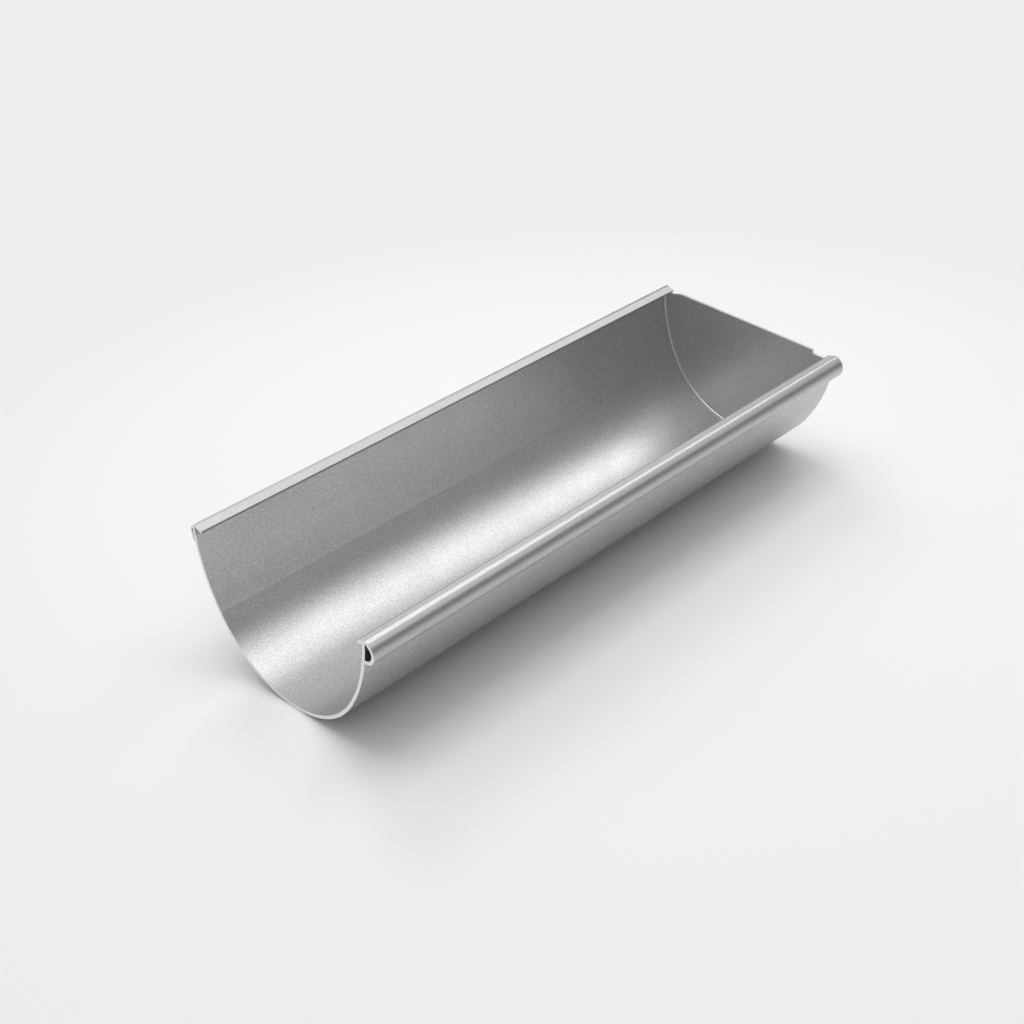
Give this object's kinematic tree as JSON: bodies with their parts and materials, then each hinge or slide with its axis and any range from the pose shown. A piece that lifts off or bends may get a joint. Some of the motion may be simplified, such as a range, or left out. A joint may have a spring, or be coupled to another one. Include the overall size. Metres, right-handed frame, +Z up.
{
  "type": "gutter section",
  "caption": "Half-round metal gutter section with inturned lips, a hollow beaded front edge, a hemmed rear edge and a closed end plate.",
  "frame": {"origin": "centre of the bounding box in plan, on the surface that the part rests on", "axes": "+X along the trough from its open end to its closed end, -Y towards the beaded front edge, +Z up. The section is rolled 6.1 degrees towards the bead, the angle at which the part comes to rest on a level floor"},
  "size_m": [0.3486, 0.1317, 0.0811],
  "materials": {
    "trough_metal": "satin",
    "plate_metal": "satin",
    "weld_metal": "bright"
  },
  "bodies": {
    "root": {"gutter_trough": "trough_metal", "end_plate": "plate_metal", "end_weld": "weld_metal"}
  },
  "joints": []
}
